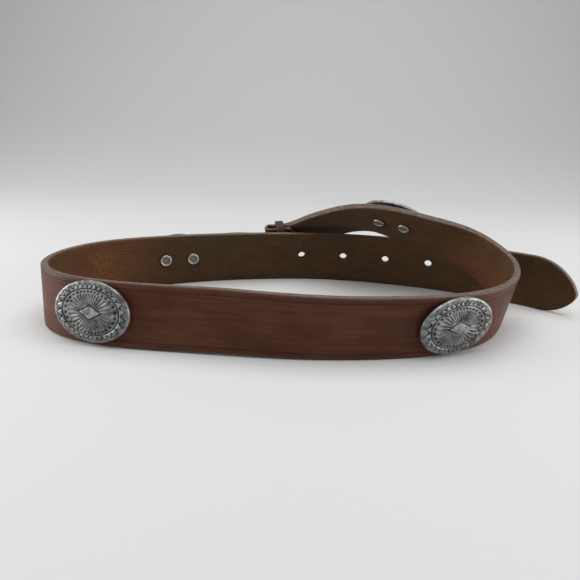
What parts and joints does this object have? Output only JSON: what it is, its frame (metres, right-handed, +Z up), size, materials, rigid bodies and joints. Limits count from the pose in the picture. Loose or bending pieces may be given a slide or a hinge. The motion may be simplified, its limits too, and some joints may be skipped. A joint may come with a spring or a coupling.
{
  "type": "concho belt",
  "caption": "Leather belt lying in a loose loop on its edge, with oval cast conchos, a plate buckle and a row of belt holes.",
  "frame": {"origin": "centre of the bounding box in X and Y, on the floor plane under the strap's lower edge", "axes": "+Z up across the strap's width, +X towards the tail tip along the loop's long way, -Y towards the front of the loop"},
  "size_m": [0.3548, 0.181, 0.0705],
  "materials": {
    "strap_leather": "smooth grain outside, rough inside",
    "keeper_leather": "smooth, dark",
    "buckle_metal": "satin",
    "concho_metal": "antiqued cast, dark recesses",
    "rivet_metal": "polished ring, dull middle"
  },
  "bodies": {
    "root": {"strap": "strap_leather", "keeper": "keeper_leather", "buckle": "buckle_metal", "concho_1": "concho_metal", "concho_2": "concho_metal", "concho_3": "concho_metal", "concho_4": "concho_metal", "rivet_1a": "rivet_metal", "rivet_1b": "rivet_metal", "rivet_2a": "rivet_metal", "rivet_2b": "rivet_metal", "rivet_3a": "rivet_metal", "rivet_3b": "rivet_metal", "rivet_4a": "rivet_metal", "rivet_4b": "rivet_metal", "fold_rivet_upper": "rivet_metal", "fold_rivet_lower": "rivet_metal"}
  },
  "joints": []
}
